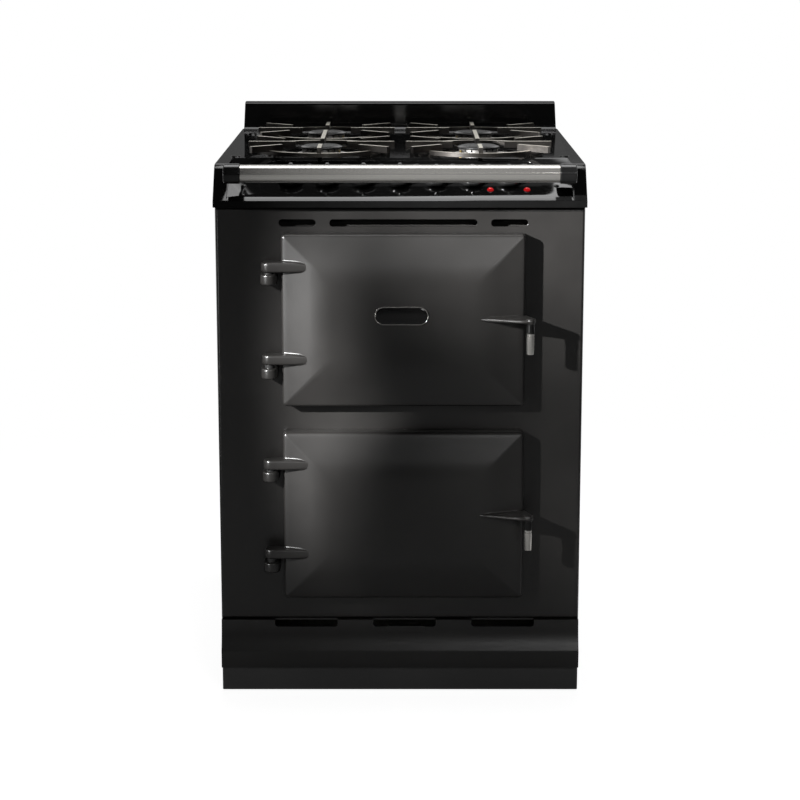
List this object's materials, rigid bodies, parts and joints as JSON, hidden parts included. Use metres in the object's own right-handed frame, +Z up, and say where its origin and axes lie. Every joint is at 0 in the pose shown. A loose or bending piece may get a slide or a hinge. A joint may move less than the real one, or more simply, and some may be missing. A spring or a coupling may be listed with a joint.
{
  "type": "range cooker",
  "caption": "Free-standing enamelled range cooker: gas hob with lift-off pan supports, splashback, front handrail and crowned oven doors on side hinges.",
  "frame": {"origin": "on the floor, under the middle of the overall width and depth", "axes": "+Z up, +X to the right as seen from the front, -Y out of the front"},
  "size_m": [0.603, 0.702, 0.944],
  "materials": {
    "enamel_front": "satin",
    "enamel_gloss": "polished",
    "plinth_paint": "matt",
    "chrome": "polished",
    "sheet_steel": "satin",
    "support_iron": "satin",
    "brass": "satin",
    "burner_alloy": "satin",
    "burner_enamel": "matt",
    "knob_plastic": "polished",
    "cap_plastic": "polished",
    "neon_red": "polished",
    "liner_enamel": "satin",
    "mineral_wool": "matt",
    "rope_seal": "matt",
    "terminal_plastic": "matt",
    "control_ceramic": "matt"
  },
  "bodies": {
    "cooker": {"base_frame": "sheet_steel", "levelling_feet": "sheet_steel", "plinth": "plinth_paint", "side_panel_left": "enamel_front", "side_panel_right": "enamel_front", "back_panel": "sheet_steel", "front_plate": "enamel_front", "hinge_lugs": "enamel_front", "hinge_pins": "sheet_steel", "door_seals": "rope_seal", "hob_top": "enamel_gloss", "hob_fixing_caps": "enamel_gloss", "splashback": "enamel_gloss", "control_panel": "enamel_gloss", "handrail": "chrome", "rail_brackets": "enamel_gloss", "rail_screws": "brass", "burner_bases": "burner_alloy", "burner_sensors": "brass", "gas_manifold": "brass", "gas_taps": "brass", "gas_pipes": "burner_alloy", "oven_controls": "control_ceramic", "terminal_box": "terminal_plastic", "oven_liner_upper": "liner_enamel", "oven_liner_lower": "liner_enamel", "insulation": "mineral_wool", "shelf_runners": "chrome", "grill_element": "sheet_steel", "oven_elements": "sheet_steel", "panel_caps": "cap_plastic", "neon_lenses": "neon_red"},
    "door_upper": {"door_upper": "enamel_front", "door_upper_inner": "sheet_steel", "door_upper_grip": "chrome", "badge_plate": "chrome"},
    "door_lower": {"door_lower": "enamel_front", "door_lower_inner": "sheet_steel", "door_lower_grip": "chrome"},
    "tap_spindle_1": {"tap_spindle_1": "brass"},
    "knob_1": {"knob_1": "knob_plastic"},
    "tap_spindle_2": {"tap_spindle_2": "brass"},
    "knob_2": {"knob_2": "knob_plastic"},
    "tap_spindle_3": {"tap_spindle_3": "brass"},
    "knob_3": {"knob_3": "knob_plastic"},
    "tap_spindle_4": {"tap_spindle_4": "brass"},
    "knob_4": {"knob_4": "knob_plastic"},
    "knob_5": {"knob_5": "knob_plastic"},
    "knob_6": {"knob_6": "knob_plastic"},
    "knob_7": {"knob_7": "knob_plastic"},
    "pan_support_left": {"pan_support_left": "support_iron"},
    "pan_support_right": {"pan_support_right": "support_iron"},
    "burner_cap_1": {"burner_cap_1": "burner_enamel"},
    "burner_cap_2": {"burner_cap_2": "burner_enamel"},
    "burner_cap_3": {"burner_cap_3": "burner_enamel"},
    "burner_cap_4": {"burner_cap_4": "burner_enamel"},
    "oven_shelf_upper": {"oven_shelf_upper": "chrome"},
    "oven_shelf_lower": {"oven_shelf_lower": "chrome"},
    "lower_moulding": {"lower_moulding": "enamel_front", "moulding_tab": "enamel_front"}
  },
  "joints": [
    {"name": "door_upper_hinge", "type": "hinge", "parent": "cooker", "child": "door_upper", "pos_m": [-0.212, -0.307, 0.642], "axis": [0, 0, -1], "range_deg": [0, 150]},
    {"name": "door_lower_hinge", "type": "hinge", "parent": "cooker", "child": "door_lower", "pos_m": [-0.212, -0.307, 0.314], "axis": [0, 0, -1], "range_deg": [0, 150]},
    {"name": "tap_1_turn", "type": "hinge", "parent": "cooker", "child": "tap_spindle_1", "pos_m": [-0.1785, -0.231, 0.86289], "axis": [0, -0.3551, 0.9348], "range_deg": [0, 230]},
    {"name": "knob_1_press", "type": "slide", "parent": "tap_spindle_1", "child": "knob_1", "axis": [0, 0.3551, -0.9348], "range_m": [0, 0.003], "stiffness_N_per_m": 1500, "springref_m": -0.001},
    {"name": "tap_2_turn", "type": "hinge", "parent": "cooker", "child": "tap_spindle_2", "pos_m": [-0.119, -0.231, 0.86289], "axis": [0, -0.3551, 0.9348], "range_deg": [0, 230]},
    {"name": "knob_2_press", "type": "slide", "parent": "tap_spindle_2", "child": "knob_2", "axis": [0, 0.3551, -0.9348], "range_m": [0, 0.003], "stiffness_N_per_m": 1500, "springref_m": -0.001},
    {"name": "tap_3_turn", "type": "hinge", "parent": "cooker", "child": "tap_spindle_3", "pos_m": [-0.0595, -0.231, 0.86289], "axis": [0, -0.3551, 0.9348], "range_deg": [0, 230]},
    {"name": "knob_3_press", "type": "slide", "parent": "tap_spindle_3", "child": "knob_3", "axis": [0, 0.3551, -0.9348], "range_m": [0, 0.003], "stiffness_N_per_m": 1500, "springref_m": -0.001},
    {"name": "tap_4_turn", "type": "hinge", "parent": "cooker", "child": "tap_spindle_4", "pos_m": [0, -0.231, 0.86289], "axis": [0, -0.3551, 0.9348], "range_deg": [0, 230]},
    {"name": "knob_4_press", "type": "slide", "parent": "tap_spindle_4", "child": "knob_4", "axis": [0, 0.3551, -0.9348], "range_m": [0, 0.003], "stiffness_N_per_m": 1500, "springref_m": -0.001},
    {"name": "knob_5_turn", "type": "hinge", "parent": "cooker", "child": "knob_5", "pos_m": [0.0595, -0.231, 0.86289], "axis": [0, 0.3551, -0.9348], "range_deg": [0, 270]},
    {"name": "knob_6_turn", "type": "hinge", "parent": "cooker", "child": "knob_6", "pos_m": [0.119, -0.231, 0.86289], "axis": [0, 0.3551, -0.9348], "range_deg": [0, 270]},
    {"name": "knob_7_turn", "type": "hinge", "parent": "cooker", "child": "knob_7", "pos_m": [0.1785, -0.231, 0.86289], "axis": [0, 0.3551, -0.9348], "range_deg": [0, 270]},
    {"name": "pan_support_left_lift", "type": "slide", "parent": "cooker", "child": "pan_support_left", "axis": [0, 0, 1], "range_m": [0, 0.08]},
    {"name": "pan_support_right_lift", "type": "slide", "parent": "cooker", "child": "pan_support_right", "axis": [0, 0, 1], "range_m": [0, 0.08]},
    {"name": "burner_cap_1_lift", "type": "slide", "parent": "cooker", "child": "burner_cap_1", "axis": [0, 0, 1], "range_m": [0, 0.04]},
    {"name": "burner_cap_2_lift", "type": "slide", "parent": "cooker", "child": "burner_cap_2", "axis": [0, 0, 1], "range_m": [0, 0.04]},
    {"name": "burner_cap_3_lift", "type": "slide", "parent": "cooker", "child": "burner_cap_3", "axis": [0, 0, 1], "range_m": [0, 0.04]},
    {"name": "burner_cap_4_lift", "type": "slide", "parent": "cooker", "child": "burner_cap_4", "axis": [0, 0, 1], "range_m": [0, 0.04]},
    {"name": "oven_shelf_upper_slide", "type": "slide", "parent": "cooker", "child": "oven_shelf_upper", "axis": [0, -1, 0], "range_m": [0, 0.03]},
    {"name": "oven_shelf_lower_slide", "type": "slide", "parent": "cooker", "child": "oven_shelf_lower", "axis": [0, -1, 0], "range_m": [0, 0.03]},
    {"name": "lower_moulding_pull", "type": "slide", "parent": "cooker", "child": "lower_moulding", "axis": [0, -1, 0], "range_m": [0, 0.06]}
  ]
}
